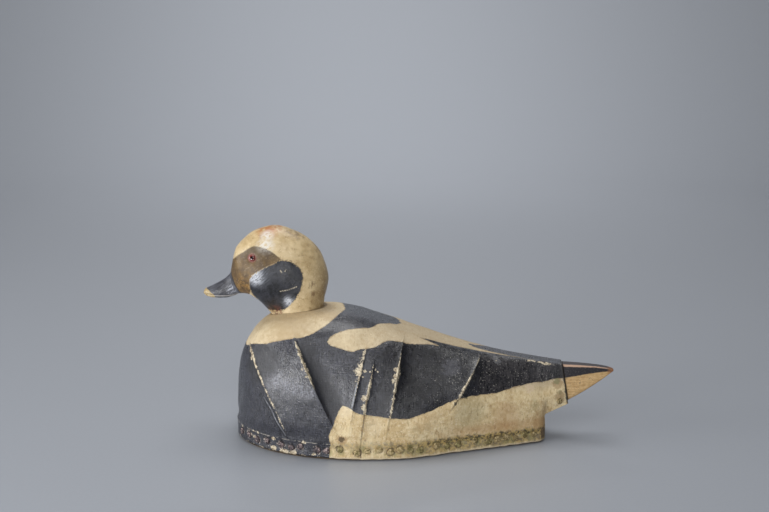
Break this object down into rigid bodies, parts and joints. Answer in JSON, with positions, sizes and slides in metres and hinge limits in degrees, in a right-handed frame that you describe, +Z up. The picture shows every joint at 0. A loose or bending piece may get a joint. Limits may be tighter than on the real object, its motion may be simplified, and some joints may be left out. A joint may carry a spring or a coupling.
{
  "type": "long-tailed duck decoy",
  "caption": "Hunting decoy of a long-tailed duck: painted canvas stretched over hoops on a boat-shaped board, with a carved wooden head and tail end.",
  "frame": {"origin": "on the ground, under the middle of the decoy's length and width", "axes": "+X towards the tail, with the bill pointing to -X; +Y across, away from the side that the picture shows; +Z up"},
  "size_m": [0.412, 0.1653, 0.2137],
  "materials": {
    "board_wood": "dark weathered bare wood with paint remains",
    "painted_canvas": "old oil paint on canvas, charcoal black and cream, worn to the ground on the hoop ridges, verdigris and dirt at the hem",
    "painted_head": "satin old paint on carved wood: cream crown and neck, grey-brown face, black cheek, dark grey bill",
    "painted_tail": "old paint on wood, black above and cream below, edges worn to the wood",
    "eye_glass": "dark polished glass",
    "tack_copper": "painted over copper, corroded green and brown"
  },
  "bodies": {
    "root": {"bottom_board": "board_wood", "canvas_body": "painted_canvas", "head": "painted_head", "tail_board": "painted_tail", "eye_right": "eye_glass", "eye_left": "eye_glass", "tack_01": "tack_copper", "tack_02": "tack_copper", "tack_03": "tack_copper", "tack_04": "tack_copper", "tack_05": "tack_copper", "tack_06": "tack_copper", "tack_07": "tack_copper", "tack_08": "tack_copper", "tack_09": "tack_copper", "tack_10": "tack_copper", "tack_11": "tack_copper", "tack_12": "tack_copper", "tack_13": "tack_copper", "tack_14": "tack_copper", "tack_15": "tack_copper", "tack_16": "tack_copper", "tack_17": "tack_copper", "tack_18": "tack_copper", "tack_19": "tack_copper", "tack_20": "tack_copper", "tack_21": "tack_copper", "tack_22": "tack_copper", "tack_23": "tack_copper", "tack_24": "tack_copper", "tack_25": "tack_copper", "tack_26": "tack_copper", "tack_27": "tack_copper", "tack_28": "tack_copper", "tack_29": "tack_copper", "tack_30": "tack_copper", "tack_31": "tack_copper", "tack_32": "tack_copper", "tack_33": "tack_copper", "tack_34": "tack_copper", "tack_35": "tack_copper", "tack_36": "tack_copper", "tack_37": "tack_copper", "tack_38": "tack_copper", "tack_39": "tack_copper", "tack_40": "tack_copper", "tack_41": "tack_copper", "tack_42": "tack_copper", "tack_43": "tack_copper", "tack_44": "tack_copper", "tack_45": "tack_copper", "tack_46": "tack_copper", "tack_47": "tack_copper", "tack_48": "tack_copper", "tack_49": "tack_copper", "tack_50": "tack_copper", "tack_51": "tack_copper", "tack_52": "tack_copper", "tack_53": "tack_copper"}
  },
  "joints": []
}
